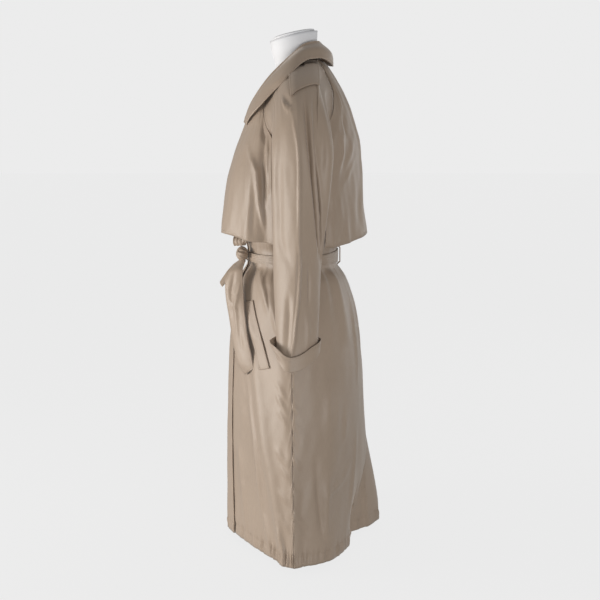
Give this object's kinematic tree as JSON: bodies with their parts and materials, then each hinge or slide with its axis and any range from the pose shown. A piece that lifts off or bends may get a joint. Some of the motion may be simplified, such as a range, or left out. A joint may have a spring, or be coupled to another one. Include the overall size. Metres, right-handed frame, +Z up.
{
  "type": "trench coat on dress form",
  "caption": "Long belted raglan trench coat with storm flaps, shoulder straps and turned-back cuffs, standing on a limbless dress form.",
  "frame": {"origin": "middle of the underside of the stand's base plate, on the floor", "axes": "+Z up, -Y the way the coat faces, +X the wearer's left"},
  "size_m": [0.6176, 0.3917, 1.2264],
  "materials": {
    "coat_cloth": "smooth cotton and silk mix, taupe, soft sheen",
    "buttons": "polished brown",
    "form_cover": "smooth white",
    "stand_metal": "satin"
  },
  "bodies": {
    "root": {"front_left": "coat_cloth", "front_right": "coat_cloth", "back_left": "coat_cloth", "back_right": "coat_cloth", "sleeve_left": "coat_cloth", "sleeve_right": "coat_cloth", "cuff_left": "coat_cloth", "cuff_right": "coat_cloth", "front_flap_left": "coat_cloth", "front_flap_right": "coat_cloth", "back_cape": "coat_cloth", "collar": "coat_cloth", "epaulette_left": "coat_cloth", "epaulette_right": "coat_cloth", "belt_band": "coat_cloth", "belt_knot": "coat_cloth", "belt_end_long": "coat_cloth", "belt_end_short": "coat_cloth", "belt_bow": "coat_cloth", "belt_loop": "coat_cloth", "pocket_welt_left": "coat_cloth", "pocket_welt_right": "coat_cloth", "epaulette_button_left": "buttons", "epaulette_button_right": "buttons", "form_torso": "form_cover", "form_neck_cap": "form_cover", "form_pole": "stand_metal", "form_base": "stand_metal"}
  },
  "joints": []
}
